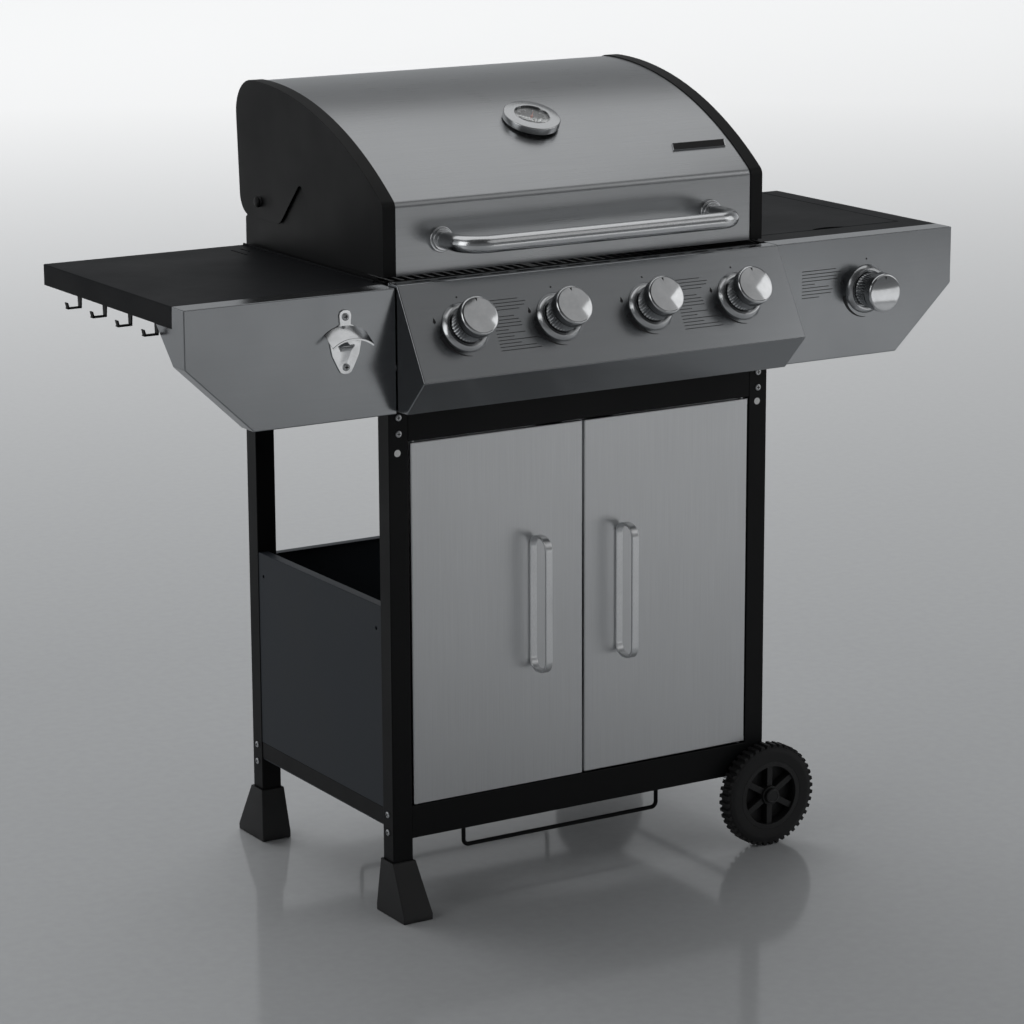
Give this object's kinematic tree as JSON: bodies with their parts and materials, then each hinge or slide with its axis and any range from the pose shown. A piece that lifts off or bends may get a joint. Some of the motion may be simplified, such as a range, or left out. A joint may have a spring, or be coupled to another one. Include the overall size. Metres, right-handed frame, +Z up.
{
  "type": "gas barbecue grill",
  "caption": "Cart-mounted gas barbecue grill: hinged curved lid, sloping control panel with push-and-turn knobs, two-door cabinet, side burner, side tables and a pair of wheels.",
  "frame": {"origin": "on the floor, at the middle of the grill's outer box", "axes": "+X to the right seen from the front, +Y to the rear, +Z up"},
  "size_m": [1.235, 0.5574, 1.0985],
  "materials": {
    "aluminised": "aluminised",
    "badge": "black face",
    "bezel_satin": "satin chromed",
    "black_enamel": "semi-gloss heat-resistant enamel",
    "black_plastic": "matt moulded",
    "black_powder_coat": "satin powder coat",
    "brass": "turned",
    "chrome_wire": "polished",
    "door_handle_alloy": "satin",
    "galvanised": "galvanised",
    "grate_enamel": "enamelled",
    "handle_steel": "satin",
    "knob_chrome": "chromed",
    "opener_chrome": "polished",
    "panel_grey_coat": "satin powder coat",
    "stainless_brushed": "brushed along X",
    "stainless_door": "brushed up and down",
    "zinc": "zinc plated"
  },
  "bodies": {
    "cart": {"legs": "black_powder_coat", "feet": "black_plastic", "axle_carriers": "black_plastic", "wheel_axle": "zinc", "axle_caps": "black_plastic", "upper_rails": "black_powder_coat", "lower_rails": "black_powder_coat", "side_panels": "panel_grey_coat", "rear_panel": "panel_grey_coat", "bottom_shelf": "panel_grey_coat", "bottle_wires": "black_powder_coat", "tray_runners": "galvanised", "firebox": "black_enamel", "lid_hinge_bolts": "zinc", "main_burners": "aluminised", "heat_tents": "aluminised", "cooking_grates": "grate_enamel", "warming_rack": "chrome_wire", "gas_manifold": "galvanised", "gas_valves": "brass", "control_panel": "stainless_brushed", "knob_bezels": "bezel_satin", "left_table": "black_powder_coat", "left_front_panel": "stainless_brushed", "right_table": "black_powder_coat", "right_front_panel": "stainless_brushed", "tool_hooks": "black_powder_coat", "bottle_opener": "opener_chrome", "side_burner_bowl": "aluminised", "side_burner_head": "black_enamel", "pan_support": "black_enamel", "frame_screws": "zinc", "hinge_pins": "zinc", "door_magnets": "black_plastic"},
    "lid": {"lid_skin": "stainless_brushed", "lid_caps": "black_enamel", "lid_handle": "handle_steel", "handle_flanges": "handle_steel", "thermometer": "handle_steel", "badge_plate": "badge"},
    "left_door": {"left_door": "stainless_door", "left_door_handle": "door_handle_alloy"},
    "right_door": {"right_door": "stainless_door", "right_door_handle": "door_handle_alloy"},
    "front_wheel": {"front_wheel": "black_plastic", "front_tyre": "black_plastic"},
    "rear_wheel": {"rear_wheel": "black_plastic", "rear_tyre": "black_plastic"},
    "drip_tray": {"drip_tray": "galvanised"},
    "side_burner_lid": {"side_burner_lid": "black_powder_coat"},
    "valve_plug_1": {"valve_plug_1": "brass"},
    "knob_1": {"knob_1": "knob_chrome"},
    "valve_plug_2": {"valve_plug_2": "brass"},
    "knob_2": {"knob_2": "knob_chrome"},
    "valve_plug_3": {"valve_plug_3": "brass"},
    "knob_3": {"knob_3": "knob_chrome"},
    "valve_plug_4": {"valve_plug_4": "brass"},
    "knob_4": {"knob_4": "knob_chrome"},
    "valve_plug_5": {"valve_plug_5": "brass"},
    "knob_5": {"knob_5": "knob_chrome"}
  },
  "joints": [
    {"name": "lid_hinge", "type": "hinge", "parent": "cart", "child": "lid", "pos_m": [0.009, 0.18867, 0.9325], "axis": [-1, 0, 0], "range_deg": [0, 85]},
    {"name": "left_door_hinge", "type": "hinge", "parent": "cart", "child": "left_door", "pos_m": [-0.256, -0.16333, 0.404], "axis": [0, 0, -1], "range_deg": [0, 105]},
    {"name": "right_door_hinge", "type": "hinge", "parent": "cart", "child": "right_door", "pos_m": [0.274, -0.16333, 0.404], "axis": [0, 0, 1], "range_deg": [0, 105]},
    {"name": "knob_1_turn", "type": "hinge", "parent": "cart", "child": "valve_plug_1", "pos_m": [-0.2105, -0.22768, 0.81278], "axis": [0, -0.8626, 0.5059], "range_deg": [0, 180]},
    {"name": "knob_1_push", "type": "slide", "parent": "valve_plug_1", "child": "knob_1", "axis": [0, 0.8626, -0.5059], "range_m": [0, 0.003], "stiffness_N_per_m": 2500, "springref_m": -0.002},
    {"name": "knob_2_turn", "type": "hinge", "parent": "cart", "child": "valve_plug_2", "pos_m": [-0.0655, -0.22768, 0.81278], "axis": [0, -0.8626, 0.5059], "range_deg": [0, 180]},
    {"name": "knob_2_push", "type": "slide", "parent": "valve_plug_2", "child": "knob_2", "axis": [0, 0.8626, -0.5059], "range_m": [0, 0.003], "stiffness_N_per_m": 2500, "springref_m": -0.002},
    {"name": "knob_3_turn", "type": "hinge", "parent": "cart", "child": "valve_plug_3", "pos_m": [0.0795, -0.22768, 0.81278], "axis": [0, -0.8626, 0.5059], "range_deg": [0, 180]},
    {"name": "knob_3_push", "type": "slide", "parent": "valve_plug_3", "child": "knob_3", "axis": [0, 0.8626, -0.5059], "range_m": [0, 0.003], "stiffness_N_per_m": 2500, "springref_m": -0.002},
    {"name": "knob_4_turn", "type": "hinge", "parent": "cart", "child": "valve_plug_4", "pos_m": [0.2245, -0.22768, 0.81278], "axis": [0, -0.8626, 0.5059], "range_deg": [0, 180]},
    {"name": "knob_4_push", "type": "slide", "parent": "valve_plug_4", "child": "knob_4", "axis": [0, 0.8626, -0.5059], "range_m": [0, 0.003], "stiffness_N_per_m": 2500, "springref_m": -0.002},
    {"name": "knob_5_turn", "type": "hinge", "parent": "cart", "child": "valve_plug_5", "pos_m": [0.468, -0.19103, 0.795], "axis": [0, -1, 0], "range_deg": [0, 180]},
    {"name": "knob_5_push", "type": "slide", "parent": "valve_plug_5", "child": "knob_5", "axis": [0, 1, 0], "range_m": [0, 0.003], "stiffness_N_per_m": 2500, "springref_m": -0.002},
    {"name": "front_wheel_spin", "type": "hinge", "parent": "cart", "child": "front_wheel", "pos_m": [0.3105, -0.18483, 0.075], "axis": [0, 1, 0], "continuous": true},
    {"name": "rear_wheel_spin", "type": "hinge", "parent": "cart", "child": "rear_wheel", "pos_m": [0.3105, 0.25617, 0.075], "axis": [0, 1, 0], "continuous": true},
    {"name": "drip_tray_slide", "type": "slide", "parent": "cart", "child": "drip_tray", "axis": [0, 1, 0], "range_m": [0, 0.3]},
    {"name": "side_burner_lid_hinge", "type": "hinge", "parent": "cart", "child": "side_burner_lid", "pos_m": [0.463, 0.22367, 0.866], "axis": [-1, 0, 0], "range_deg": [0, 100]}
  ]
}
